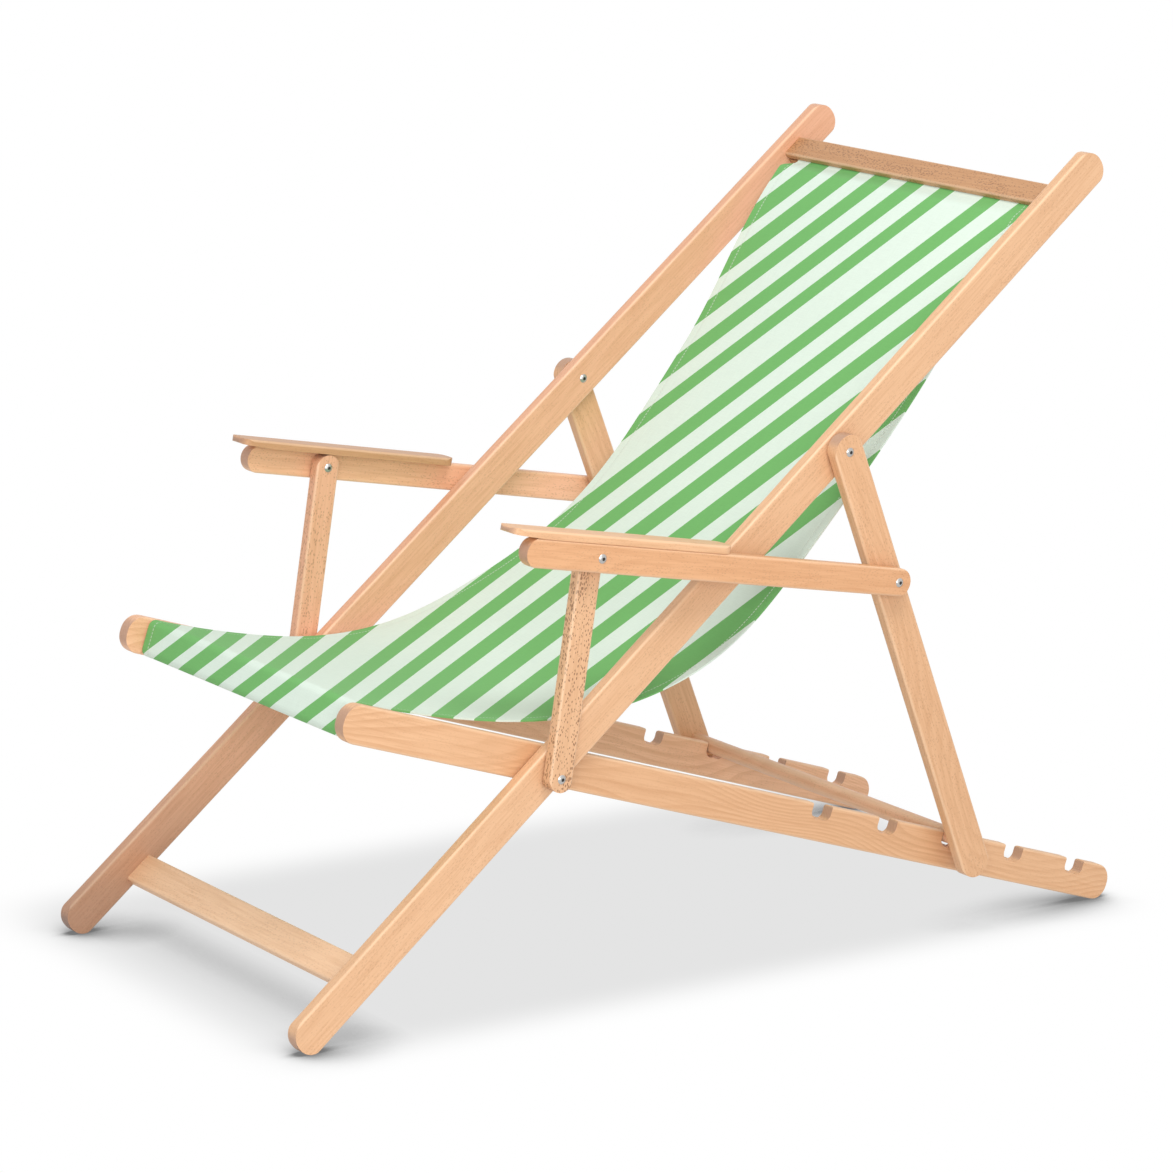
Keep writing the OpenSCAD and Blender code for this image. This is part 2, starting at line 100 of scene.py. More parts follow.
# %% A helper for shader nodes
class Net:
    """A net of shader nodes that is filled one node at a time."""

    def __init__(self, tree):
        self.tree = tree

    def feed(self, target, source):
        """Feeds an input with another node's output, or sets it to a plain value."""
        if isinstance(source, bpy.types.NodeSocket):
            self.tree.links.new(source, target)
        else:
            target.default_value = source

    def add(self, kind, inputs=None, **settings):
        """A new node with its settings, and its inputs fed by name."""
        node = self.tree.nodes.new("ShaderNode" + kind)
        for setting, value in settings.items():
            setattr(node, setting, value)
        for name, source in (inputs or {}).items():
            self.feed(node.inputs[name], source)
        return node

    def math(self, operation, first, second=0.0, clamp=False):
        """One step of arithmetic."""
        node = self.add("Math", operation=operation, use_clamp=clamp)
        self.feed(node.inputs[0], first)
        self.feed(node.inputs[1], second)
        return node.outputs[0]

    def product(self, result, *others):
        """Several values multiplied."""
        for other in others:
            result = self.math("MULTIPLY", result, other)
        return result

    def total(self, result, *others):
        """Several values added."""
        for other in others:
            result = self.math("ADD", result, other)
        return result

    def ramp(self, value, low, high, to_low=0.0, to_high=1.0, kind="SMOOTHSTEP"):
        """A value moved from one range to another, and kept inside it."""
        ranges = {"Value": value, "From Min": low, "From Max": high, "To Min": to_low,
                  "To Max": to_high}
        return self.add("MapRange", ranges, interpolation_type=kind).outputs["Result"]

    def plateau(self, value, start, full, last, end):
        """A rise from 0 to 1 between two values, and a fall back to 0 between two others."""
        return self.product(self.ramp(value, start, full), self.ramp(value, last, end, 1.0, 0.0))

    def scaled(self, vector, factors):
        """A vector stretched by three factors."""
        node = self.add("VectorMath", operation="MULTIPLY")
        self.feed(node.inputs[0], vector)
        self.feed(node.inputs[1], factors)
        return node.outputs[0]

    def split(self, vector):
        """The three parts of a vector, to be read as X, Y and Z."""
        return self.add("SeparateXYZ", {"Vector": vector}).outputs

    def noise(self, vector, scale=1.0, detail=2.0, roughness=0.5):
        """Soft random blotches."""
        inputs = {"Vector": vector, "Scale": scale, "Detail": detail, "Roughness": roughness}
        return self.add("TexNoise", inputs).outputs["Fac"]

    def blend(self, factor, first, second, how="MIX"):
        """Two colours mixed."""
        inputs = {"Factor": factor, "A": first, "B": second}
        return self.add("Mix", inputs, data_type="RGBA", blend_type=how).outputs["Result"]


def new_material(name):
    """An empty node material, and the net that fills it."""
    material = bpy.data.materials.new(name)
    material.use_nodes = True
    material.node_tree.nodes.clear()
    return material, Net(material.node_tree)


print("steps of a net:", [step for step in vars(Net) if not step.startswith("_")])

# %% [markdown]
# In the photograph the floor is plain white, apart from a soft shade under the chair and a
# darker one close round whatever touches it. A grey floor in strong light would look white too,
# but that light would bleach the chair. So the floor is a matt white for the light that bounces
# off it, and a plain white glow for the rays that show it. The Light Path node tells the two
# apart. Both shades are painted shadows in the glow: it is weaker under the chair, and wherever
# something stands close above.

# %% The floor
FLOOR_WIDTH = 30.0
FLOOR_MATT = (0.80, 0.80, 0.80, 1.0)
# The painted shadow's soft borders, from its outer to its inner line on one side, then on the other
SHADE_ACROSS = (-0.47, -0.26, 0.19, 0.36)
SHADE_ALONG = (-0.68, -0.50, 0.50, 0.64)
SHADE_GLOW = 0.775
# How far above the floor a piece still darkens it with a painted contact shadow, and the open share
# of sky that this spans
CONTACT_REACH = 0.08
CONTACT_OPEN = (0.45, 0.98)
CONTACT_GLOW = 0.22


def shown_as(net, in_light, to_the_eye):
    """One shader for the light, and another for rays from the camera, gloss or glass."""
    path = net.add("LightPath").outputs
    by_gloss = net.math("MAXIMUM", path["Is Glossy Ray"], path["Is Transmission Ray"])
    mix = net.add("MixShader", {"Fac": net.math("MAXIMUM", path["Is Camera Ray"], by_gloss)})
    net.feed(mix.inputs[1], in_light)
    net.feed(mix.inputs[2], to_the_eye)
    return mix.outputs[0]


let_go()
bpy.ops.mesh.primitive_plane_add(size=FLOOR_WIDTH, location=(0.0, 0.0, 0.0))
floor = bpy.context.object
floor.name = "floor"

floor_white, net = new_material("floor_white")
on_floor = net.split(net.add("TexCoord").outputs["Object"])
painted_shadow_box = net.product(net.plateau(on_floor["X"], *SHADE_ACROSS),
                          net.plateau(on_floor["Y"], *SHADE_ALONG))
open_sky = net.add("AmbientOcclusion", {"Distance": CONTACT_REACH}).outputs["AO"]
glow = net.product(net.ramp(painted_shadow_box, 0.0, 1.0, 1.0, SHADE_GLOW),
                   net.ramp(open_sky, *CONTACT_OPEN, CONTACT_GLOW, 1.0))
floor_shader = shown_as(net, net.add("BsdfDiffuse", {"Color": FLOOR_MATT}).outputs[0],
                        net.add("Emission", {"Strength": glow}).outputs[0])
net.add("OutputMaterial", {"Surface": floor_shader})
floor.data.materials.append(floor_white)
print("floor:", FLOOR_WIDTH, "m wide,", len(net.tree.nodes), "nodes")

# %% [markdown]
# One wide, soft lamp overhead makes the upper edges a little brighter, and one high beside the
# camera lights the boards' near faces. The rest is an even, pale light from the whole sky, which
# looks pure white itself, by the same means as the floor.

# %% Lamps and sky
SKY_LIGHT = 0.66
WHITE = (1.0, 1.0, 1.0, 1.0)


def lamp(name, place, aim, size, power):
    """A square area lamp that looks at a point."""
    light = bpy.data.lights.new(name, "AREA")
    light.shape = "SQUARE"
    light.size = size
    light.energy = power
    holder = bpy.data.objects.new(name, light)
    bpy.context.scene.collection.objects.link(holder)
    holder.location = place
    holder.rotation_euler = (Vector(aim) - Vector(place)).to_track_quat("-Z", "Y").to_euler()


lamp("overhead", place=(1.4, -0.6, 2.6), aim=(0.0, 0.1, 0.4), size=0.9, power=27.0)
lamp("side_key", place=(4.4, -3.0, 1.8), aim=(0.0, 0.0, 0.4), size=2.0, power=98.0)

world = bpy.data.worlds.new("studio")
bpy.context.scene.world = world
world.use_nodes = True
world.node_tree.nodes.clear()
net = Net(world.node_tree)
sky_shader = shown_as(
    net, net.add("Background", {"Color": WHITE, "Strength": SKY_LIGHT}).outputs[0],
    net.add("Background", {"Color": WHITE, "Strength": 1.0}).outputs[0])
net.add("OutputWorld", {"Surface": sky_shader})

# %% [markdown]
# ## Beech
# Beech is pale and pinkish, with a faint grain along the board, wavy where the board was cut
# flat, and short brown flecks. A photograph wrapped round the boards would slide over their
# ends, so the grain is computed in space. It is drawn once, in a node group that every board's
# material shares. The group reads a place in which Y runs along the board, and the way that the
# surface faces there.

# %% The grain group: tone, growth rings and fibres
# How often each pattern changes in a metre: across the board, along it, and across again
TONE_SCALE = (14.0, 2.2, 14.0)
BEND_SCALE = (9.0, 2.6, 9.0)
PATCH_SCALE = (22.0, 5.0, 22.0)
FIBRE_SCALE = (420.0, 15.0, 420.0)
# Rings in a metre, by how many rings the noise bends them, and how many more a wavy board has
RINGS_ACROSS_X, RINGS_ACROSS_Z, RING_BEND, WAVY_MORE = 90.0, 62.0, 11.0, 2.4
# Where a ring's dark line starts, is darkest, and ends, as shares of the ring
RING_LINE = (0.25, 0.92, 0.93, 1.0)


def new_group(name, inputs, outputs):
    """An empty node group: its net, what it is given, and what it puts out."""
    tree = bpy.data.node_groups.new(name, "ShaderNodeTree")
    for label, kind, value in inputs:
        made = tree.interface.new_socket(label, in_out="INPUT", socket_type="NodeSocket" + kind)
        if value is not None:
            made.default_value = value
    for label, kind in outputs:
        tree.interface.new_socket(label, in_out="OUTPUT", socket_type="NodeSocket" + kind)
    given = tree.nodes.new("NodeGroupInput").outputs
    put_out = tree.nodes.new("NodeGroupOutput").inputs
    return Net(tree), given, put_out


grain, given, grain_out = new_group(
    "beech_grain",
    [("Board", "Vector", None), ("Facing", "Vector", None),
     ("Pale", "Color", (0.80, 0.50, 0.28, 1.0)), ("Dark", "Color", (0.62, 0.33, 0.16, 1.0)),
     ("Flecks", "Float", 0.5), ("Waves", "Float", 0.4)],
    [("Colour", "Color"), ("Height", "Float"), ("Roughness", "Float")])
board, pale, dark = given["Board"], given["Pale"], given["Dark"]

tone = grain.noise(grain.scaled(board, TONE_SCALE))
bend = grain.noise(grain.scaled(board, BEND_SCALE), detail=1.0)
on_board = grain.split(board)
rings_passed = grain.total(grain.product(on_board["Z"], RINGS_ACROSS_Z),
                           grain.product(on_board["X"], RINGS_ACROSS_X),
                           grain.product(bend, RING_BEND))
closeness = grain.total(grain.product(given["Waves"], WAVY_MORE), 1.0)
ring = grain.math("FRACT", grain.product(rings_passed, closeness))
ring_patch = grain.noise(grain.scaled(board, PATCH_SCALE), detail=1.0)
ring_line = grain.product(grain.plateau(ring, *RING_LINE),
                          grain.ramp(ring_patch, 0.3, 0.6, 0.35, 1.0))
fibre = grain.noise(grain.scaled(board, FIBRE_SCALE), detail=3.0, roughness=0.65)
print("tone, rings and fibres:", len(grain.tree.nodes), "nodes")

# %% [markdown]
# Beech is known by its flecks, short dark dashes along the grain. Each is one cell of a Voronoi
# texture whose cells are twice as long as wide, and only the cell's core is kept. The flecks are
# larger in some places than in others, so a slow noise changes how much of the core is kept.

# %% The flecks
FLECK_SCALE = (450.0, 225.0, 450.0)
FLECK_PATCH_SCALE = (60.0, 12.0, 60.0)
# The radius of the core that makes a fleck, as a share of its cell
FLECK_LEAST, FLECK_MOST = 0.20, 0.33

fleck_cells = grain.add("TexVoronoi", {"Vector": grain.scaled(board, FLECK_SCALE), "Scale": 1.0,
                                       "Randomness": 0.95}, feature="F1")
fleck_patch = grain.noise(grain.scaled(board, FLECK_PATCH_SCALE), detail=1.0)
fleck_size = grain.product(grain.ramp(fleck_patch, 0.35, 0.65, FLECK_LEAST, FLECK_MOST),
                           grain.total(grain.product(given["Flecks"], 0.4), 0.85))
fleck = grain.product(grain.math("LESS_THAN", fleck_cells.outputs["Distance"], fleck_size),
                      given["Flecks"])
print("with flecks:", len(grain.tree.nodes), "nodes")

# %% [markdown]
# A sawn end is duller and greyer than a board's side. A rounded edge is painted paler, partly as
# sanded wood and partly as a painted highlight. Both follow from the way the surface faces, turned
# with the board: an end faces along Y, and a rounded long edge faces between X and Z. The last step
# lays one pattern over the other, from the broad to the fine.

# %% Ends, edges and the mixed colour
FLECK_BROWN = (0.26, 0.115, 0.050, 1.0)
END_GREY = (0.38, 0.225, 0.165, 1.0)
PALE_EDGE_AND_HIGHLIGHT = (0.93, 0.68, 0.46, 1.0)
# How much of the colour under it each pattern may cover
TONE_SHARE, FIBRE_SHARE, FLECK_SHARE, END_SHARE, PALE_EDGE_AND_HIGHLIGHT_SHARE = 0.30, 0.46, 0.85, 0.66, 0.36

facing = grain.split(given["Facing"])
end_on = grain.ramp(grain.math("ABSOLUTE", facing["Y"]), 0.55, 0.95)
pale_edge_and_highlight = grain.math("MULTIPLY", grain.product(grain.math("ABSOLUTE", facing["X"]), 2.0),
                     grain.math("ABSOLUTE", facing["Z"]), clamp=True)

wood = grain.blend(grain.ramp(tone, 0.3, 0.72, 0.0, TONE_SHARE), pale, dark)
wood = grain.blend(grain.product(ring_line, given["Waves"]), wood, dark)
wood = grain.blend(grain.ramp(fibre, 0.38, 0.70, 0.0, FIBRE_SHARE), wood, dark)
wood = grain.blend(grain.product(fleck, FLECK_SHARE), wood, FLECK_BROWN)
wood = grain.blend(grain.product(end_on, END_SHARE), wood, END_GREY)
# Rounded edges are painted paler: partly sanded wood, partly a painted highlight
wood = grain.blend(grain.product(pale_edge_and_highlight, PALE_EDGE_AND_HIGHLIGHT_SHARE), wood, PALE_EDGE_AND_HIGHLIGHT)
grain.feed(grain_out["Colour"], wood)
grain.feed(grain_out["Height"], grain.math("SUBTRACT", fibre, grain.product(fleck, 0.8)))
grain.feed(grain_out["Roughness"], grain.total(grain.product(fibre, 0.22), 0.40))
print("beech grain:", len(grain.tree.nodes), "nodes")

# %% [markdown]
# The boards lie at five different slopes, which the CAD model gives. A Mapping node turns the
# coordinates back by that slope, and shifts them by a different amount for each board, so that
# no two boards show the same grain. A clear varnish lies over it as a thin coat. The chair was
# made from mixed planks, so each board has its own tone. One foot gets a painted shade, darker
# towards the floor.

# %% The beech finish
PEACH, FLESH, CREAM = (0.790, 0.470, 0.262), (0.800, 0.490, 0.283), (0.900, 0.585, 0.365)
ROSE, BLUSH, AMBER = (0.845, 0.465, 0.290), (0.950, 0.560, 0.345), (0.765, 0.418, 0.215)
BROWN, TAN = (0.625, 0.345, 0.180), (0.560, 0.295, 0.138)
# What is left of the pale tone's red, green and blue in the dark lines
DARK_SHARE = (0.76, 0.66, 0.56)
# How high the painted shade on a foot reaches, and what light it leaves at the very foot
PAINTED_FOOT_HEIGHT = 0.20
PAINTED_FOOT_SHADE = {"long_rail_right": 0.52}
CROSSWISE = ("top_board", "foot_stretcher", "front_bar", "prop_bar", "top_hem_rod", "front_hem_rod")


def beech(name, slope, shift, flecks, waves, tint):
    """Varnished beech whose grain runs along a board of this slope, or across the chair."""
    material, net = new_material("beech_" + name)
    where = net.add("TexCoord").outputs
    turn = (math.radians(-slope), 0.0, math.radians(90.0 if name in CROSSWISE else 0.0))
    place = net.add("Mapping", {"Vector": where["Object"], "Location": shift, "Rotation": turn})
    face = net.add("Mapping", {"Vector": where["Normal"], "Rotation": turn}, vector_type="NORMAL")
    dark_tint = [part * share for part, share in zip(tint, DARK_SHARE)]
    figure = net.add("Group", {"Board": place.outputs[0], "Facing": face.outputs[0],
                               "Flecks": flecks, "Waves": waves, "Pale": (*tint, 1.0),
                               "Dark": (*dark_tint, 1.0)}, node_tree=grain.tree).outputs
    # A painted shade darkens a listed board towards its foot
    height = net.split(where["Object"])["Z"]
    foot = net.ramp(height, 0.0, PAINTED_FOOT_HEIGHT, PAINTED_FOOT_SHADE.get(name, 1.0), 1.0)
    colour = net.blend(1.0, figure["Colour"], foot, "MULTIPLY")
    bump = net.add("Bump", {"Height": figure["Height"], "Strength": 0.12, "Distance": 0.0006})
    varnish = net.add("BsdfPrincipled", {
        "Base Color": colour, "Roughness": figure["Roughness"], "Normal": bump.outputs[0],
        "Coat Weight": 0.22, "Coat Roughness": 0.28, "Specular IOR Level": 0.45})
    net.add("OutputMaterial", {"Surface": varnish.outputs[0]})
    return material


print("darker feet:", PAINTED_FOOT_SHADE, "boards across the chair:", CROSSWISE)

# %% [markdown]
# Each board's row says how it slopes, where in the wood it was cut, how many flecks and waves it
# shows, and its tone. The right side's boards are the far ones in the photograph.

# %% Beech on the boards
LONG_SLOPE, SHORT_SLOPE, LEG_SLOPE, POST_SLOPE, ARM_SLOPE = 40.056, -17.145, -66.772, 82.711, -9.537
# The columns are: slope, place in the wood, flecks, waves and tone
BOARDS = {
    "long_rail_left": (LONG_SLOPE, (0.00, 0.3, 0.10), 0.24, 0.12, FLESH),
    "long_rail_right": (LONG_SLOPE, (0.31, 1.7, 0.43), 0.20, 0.18, ROSE),
    "short_rail_left": (SHORT_SLOPE, (0.12, 0.9, 0.77), 0.10, 0.60, PEACH),
    "short_rail_right": (SHORT_SLOPE, (0.55, 2.3, 0.21), 0.16, 0.50, BLUSH),
    "leg_left": (LEG_SLOPE, (0.71, 0.2, 0.35), 0.30, 0.30, PEACH),
    "leg_right": (LEG_SLOPE, (0.91, 1.2, 0.62), 0.25, 0.25, PEACH),
    "post_left": (POST_SLOPE, (0.23, 0.6, 0.18), 1.00, 0.10, FLESH),
    "post_right": (POST_SLOPE, (0.47, 1.9, 0.52), 0.55, 0.15, ROSE),
    "arm_bar_left": (ARM_SLOPE, (0.65, 0.5, 0.83), 0.24, 0.22, AMBER),
    "arm_bar_right": (ARM_SLOPE, (0.85, 1.4, 0.27), 0.30, 0.20, BLUSH),
    "armrest_left": (ARM_SLOPE, (0.38, 0.7, 0.49), 0.15, 0.15, PEACH),
    "armrest_right": (ARM_SLOPE, (0.58, 2.1, 0.93), 0.20, 0.25, BROWN),
    "top_board": (LONG_SLOPE, (0.19, 0.4, 0.66), 0.80, 0.20, TAN),
    "foot_stretcher": (LONG_SLOPE, (0.79, 1.1, 0.14), 0.20, 0.15, CREAM),
    "front_bar": (SHORT_SLOPE, (0.29, 1.6, 0.36), 0.20, 0.20, PEACH),
    "prop_bar": (SHORT_SLOPE, (0.49, 0.8, 0.58), 0.25, 0.30, ROSE),
    "top_hem_rod": (LONG_SLOPE, (0.69, 0.1, 0.88), 0.20, 0.10, PEACH),
    "front_hem_rod": (SHORT_SLOPE, (0.89, 2.6, 0.48), 0.20, 0.10, PEACH),
}


def dress(node_name, material):
    """Gives a CAD node its material."""
    thing = nodes[node_name]
    if not thing.material_slots:
        thing.data.materials.append(material)
    for slot in thing.material_slots:
        slot.material = material


for board_name, finish in BOARDS.items():
    dress(board_name, beech(board_name, *finish))
print("beech on", len(BOARDS), "nodes")

# %% [markdown]
# ## Bolts and washers
# The pivots are bright plated bolts with low domed heads. Plating is not a mirror: it has a
# faint cloudy stain, which noise gives to its colour, its roughness and its bump. The bottom of
# a bolt's socket is painted dark, as the shade in that recess. It is the only face of the domed
# head that looks straight to the side, so the way the surface faces finds it.

# %% The plated steel
STAIN_SCALE = 260.0
STAIN_SHARE = 0.72
SOCKET_SHADE_COLOUR = (0.075, 0.070, 0.065, 1.0)
SIDE_ON = (0.975, 0.992)


def plated(name, tint, roughness, marks, socket_shade_share):
    """Zinc plating with cloudy stains, and the flat bottom of a bolt's socket painted dark as shade.
    """
    material, net = new_material(name)
    where = net.add("TexCoord").outputs
    cloud = net.noise(where["Object"], STAIN_SCALE, 3.0)
    stained = [part * STAIN_SHARE for part in tint]
    colour = net.blend(cloud, (*tint, 1.0), (*stained, 1.0))
    sideways = net.math("ABSOLUTE", net.split(where["Normal"])["X"])
    # The socket's flat bottom gets a painted shade
    painted_socket_shade = net.ramp(sideways, *SIDE_ON, 0.0, socket_shade_share, "LINEAR")
    bump = net.add("Bump", {"Height": cloud, "Strength": 0.10, "Distance": 0.0003})
    steel = net.add("BsdfPrincipled", {
        "Base Color": net.blend(painted_socket_shade, colour, SOCKET_SHADE_COLOUR), "Metallic": 1.0,
        "Roughness": net.ramp(cloud, 0.0, 1.0, roughness - marks, roughness + marks, "LINEAR"),
        "Normal": bump.outputs[0]})
    net.add("OutputMaterial", {"Surface": steel.outputs[0]})
    return material


bolt_finish = plated("bright_plating", (0.60, 0.59, 0.57), roughness=0.30, marks=0.08,
                     socket_shade_share=1.0)
washer_finish = plated("dull_plating", (0.46, 0.46, 0.45), roughness=0.44, marks=0.10,
                       socket_shade_share=0.0)
bolts = [name for name in nodes if "bolt" in name or "caps" in name]
washers = [name for name in nodes if "washer" in name]
for name in bolts:
    dress(name, bolt_finish)
for name in washers:
    dress(name, washer_finish)
print("plating on", len(bolts), "bolt nodes and", len(washers), "washer nodes")

# %% [markdown]
# ## The sling
# One strip of woven cloth hangs between the top board and the front bar. It comes out of a
# groove in the bar's rear face, goes down, forward and up round the bar, runs in one deep curve
# under the sitter, and ends round a rod in the top board's lower groove. A cloth simulation
# would only find the same hanging line again, so the line is written down, from lines and arcs.
# First comes the way round the bar.

# %% The cloth's way round the front bar, seen from the side
SEAT_PIVOT = Vector((-0.259781, 0.265988))
CLOTH = 0.0018
GAP = 0.0003
# The front bar's middle along and above the short rails' line, its size, and its rounded edge
BAR_AT, BAR_ABOVE, BAR_THICK, BAR_HIGH, BAR_ROUND = -0.237, 0.008, 0.018, 0.039, 0.007
CORNER_STEPS = 7

clear = GAP + CLOTH / 2
wrap_half = BAR_THICK / 2 + clear
wrap_high = BAR_HIGH / 2 + clear
wrap_round = BAR_ROUND + clear


def beside(origin, slope, along, above):
    """A point given along and above a line of this slope, in the side plane."""
    angle = math.radians(slope)
    return Vector((origin[0] + along * math.cos(angle) - above * math.sin(angle),
                   origin[1] + along * math.sin(angle) + above * math.cos(angle)))


def corner(along_side, above_side, start, stop):
    """Points on one rounded corner of the wrap, from one angle to another."""
    points = []
    for step in range(CORNER_STEPS + 1):
        angle = math.radians(start + (stop - start) * step / CORNER_STEPS)
        points.append((BAR_AT + along_side * (wrap_half - wrap_round) + wrap_round * math.cos(angle),
                       BAR_ABOVE + above_side * (wrap_high - wrap_round)
                       + wrap_round * math.sin(angle)))
    return points


# Out of the groove, and down over its lip
wrap = [(BAR_AT + 0.0015, BAR_ABOVE), (BAR_AT + 0.006, BAR_ABOVE),
        (BAR_AT + wrap_half - 0.0014, BAR_ABOVE - 0.0002),
        (BAR_AT + wrap_half - 0.0003, BAR_ABOVE - 0.0012),
        (BAR_AT + wrap_half, BAR_ABOVE - 0.0035), (BAR_AT + wrap_half, BAR_ABOVE - 0.008)]
# Under the bar, up its front face, and back over its top
wrap += corner(1, -1, 0, -90)
wrap += corner(-1, -1, -90, -180)
wrap += [(BAR_AT - wrap_half, BAR_ABOVE + (wrap_high - wrap_round) * third / 3)
         for third in (-2, -1, 0, 1, 2)]
wrap += corner(-1, 1, 180, 90)
wrap += [(BAR_AT + 0.003, BAR_ABOVE + wrap_high), (BAR_AT + 0.008, BAR_ABOVE + wrap_high)]
line = [beside(SEAT_PIVOT, SHORT_SLOPE, *point) for point in wrap]
print("round the bar:", len(line), "points")

# %% [markdown]
# The free cloth hangs in one cubic curve. It leaves the bar and reaches the board along two
# slopes fitted to the photograph, and two pulls say how far it keeps to each. Its points lie
# closer together near the top board, where the next step lets it fall forward.

# %% The free curve
SPAN_START = Vector((-0.464838, 0.359285))
SPAN_END = Vector((0.418662, 0.843592))
HEM = Vector((0.426699, 0.850349))
FRONT_SLOPE, FRONT_PULL = -15.8, 0.535
TOP_SLOPE, TOP_PULL = 50.9, 0.489
SPAN_STEPS, WIDE_STEPS, FINE_PER_STEP = 96, 92, 8

front_pull = beside(SPAN_START, FRONT_SLOPE, FRONT_PULL, 0.0)
top_pull = beside(SPAN_END, TOP_SLOPE, -TOP_PULL, 0.0)


def span(share):
    """The cloth's free curve, from the front bar at 0 to the top board at 1."""
    rest = 1.0 - share
    return (rest ** 3 * SPAN_START + 3 * rest * rest * share * front_pull
            + 3 * rest * share * share * top_pull + share ** 3 * SPAN_END)


fine_steps = (SPAN_STEPS - WIDE_STEPS) * FINE_PER_STEP
shares = [step / SPAN_STEPS for step in range(WIDE_STEPS)]
shares += [(WIDE_STEPS + step / FINE_PER_STEP) / SPAN_STEPS for step in range(fine_steps + 1)]
free_at = [0.0] * len(line) + shares + [1.0, 1.0]
line += [span(share) for share in shares]
line += [SPAN_END.lerp(HEM, 0.35), SPAN_END.lerp(HEM, 0.72)]
runs = [0.0]
for before, after in zip(line, line[1:]):
    runs.append(runs[-1] + (after - before).length)

# %% [markdown]
# The cloth is a grid of faces, added flat and then laid along that line. Its hemmed long edges
# are a little tighter than the middle, so they stand higher where the seat turns into the back,
# and it hangs unevenly, as in the photograph: the far edge stands higher than the near one.
# Below the top board the cloth first falls forward, out of the board's groove. This is small
# enough to be a formula for how far each point stands off the line.

# %% The sling's mesh
HALF_WIDTH = 0.217
COLUMNS = 44
# How high each edge stands, and between which shares of the free curve
FAR_RISE, FAR_FROM, FAR_TO = 0.019, 0.10, 0.68
NEAR_RISE, NEAR_FROM, NEAR_TO = 0.008, 0.36, 0.88
# How far the cloth falls forward under the top board, at its far and its near edge
FALL_FAR, FALL_NEAR = 0.019, 0.005
# How far below the board that fall begins and ends, and over what length each is eased
FALL_BEGINS, FALL_SOFT, FALL_ENDS, END_SOFT = 0.001, 0.022, 0.045, 0.22
# Each ripple's turn along the cloth, its turn across, and its height
RIPPLES = ((21.0, 1.3, 0.0006), (9.0, -4.0, 0.0009))


def eased(value):
    """From 0 to 1 with soft ends."""
    value = min(max(value, 0.0), 1.0)
    return value * value * (3.0 - 2.0 * value)


def hump(value, start, stop):
    """A smooth rise from 0 to 1 and back between two places."""
    return math.sin(math.pi * min(max((value - start) / (stop - start), 0.0), 1.0)) ** 2


def stand_off(across, free):
    """How far the cloth stands off its line: nothing at the wood, a little at the free edges."""
    if not 0.0 < free < 1.0:
        return 0.0
    slack = math.sin(math.pi * free) ** 0.7
    edge = abs(2.0 * across - 1.0)
    wave = sum(math.sin(free * along + sideways * across) * height
               for along, sideways, height in RIPPLES)
    wave = slack * wave * (0.25 + 0.75 * edge ** 3)
    held = (FAR_RISE * hump(free, FAR_FROM, FAR_TO) * (1.0 - across) ** 2
            + NEAR_RISE * hump(free, NEAR_FROM, NEAR_TO) * across ** 2)
    below = (SPAN_END - span(free)).length
    fall = eased((below - FALL_BEGINS) / FALL_SOFT) * (1.0 - eased((below - FALL_ENDS) / END_SOFT))
    return wave + held + (FALL_FAR + (FALL_NEAR - FALL_FAR) * across) * fall


let_go()
bpy.ops.mesh.primitive_grid_add(x_subdivisions=COLUMNS, y_subdivisions=len(line) - 1, size=1.0,
                                location=(0.0, 0.0, 0.0))
sling = bpy.context.object
sling.name = "sling_cloth"
mesh = sling.data

place_on_cloth = {}
for vertex in mesh.vertices:
    across = round((vertex.co.x + 0.5) * COLUMNS) / COLUMNS
    row = round((vertex.co.y + 0.5) * (len(line) - 1))
    onward = (line[min(row + 1, len(line) - 1)] - line[max(row - 1, 0)]).normalized()
    away = stand_off(across, free_at[row])
    place_on_cloth[vertex.index] = (across, row)
    vertex.co = ((2.0 * across - 1.0) * HALF_WIDTH,
                 line[row][0] - onward[1] * away, line[row][1] + onward[0] * away)
mesh.update()
print("sling:", len(mesh.polygons), "faces")

# %% [markdown]
# Two UV maps go with the cloth. One measures it in metres, for the weave and the seams. The
# other carries the print: how far across the slanting stripes a point lies, where the stripes
# fan out slightly, and beside that a painted shade near its near edge at the waist.

# %% The cloth's UV maps
STRIPE_SLANT = Vector((0.50718, 0.40758, -0.75937))
STRIPE_FAN = Vector((-0.15213, 0.11008, -0.04253))
STRIPE_START = 0.31997
# Where the painted shade begins across the cloth, how softly, and its stretch along the free curve
CLOTH_PAINTED_SHADE_ACROSS, CLOTH_PAINTED_SHADE_SOFT = 0.60, 0.30
CLOTH_PAINTED_SHADE_FROM, CLOTH_PAINTED_SHADE_TO = 0.30, 0.72


def stripe_run(place):
    """How far across the print's stripes a point of the hung cloth lies, in metres."""
    return (STRIPE_SLANT.dot(place) + STRIPE_START) / (1.0 + STRIPE_FAN.dot(place))


weave_map = mesh.uv_layers[0] if mesh.uv_layers else mesh.uv_layers.new()
weave_map.name = "cloth_metres"
stripe_map = mesh.uv_layers.new(name="stripe_run")
for loop in mesh.loops:
    across, row = place_on_cloth[loop.vertex_index]
    # A painted shade near the cloth's near edge, at the waist
    cloth_painted_shade = eased((across - CLOTH_PAINTED_SHADE_ACROSS) / CLOTH_PAINTED_SHADE_SOFT) * hump(free_at[row], CLOTH_PAINTED_SHADE_FROM, CLOTH_PAINTED_SHADE_TO)
    weave_map.data[loop.index].uv = (across * 2.0 * HALF_WIDTH, runs[row])
    stripe_map.data[loop.index].uv = (stripe_run(mesh.vertices[loop.vertex_index].co), cloth_painted_shade)
print("UV maps:", [layer.name for layer in mesh.uv_layers])

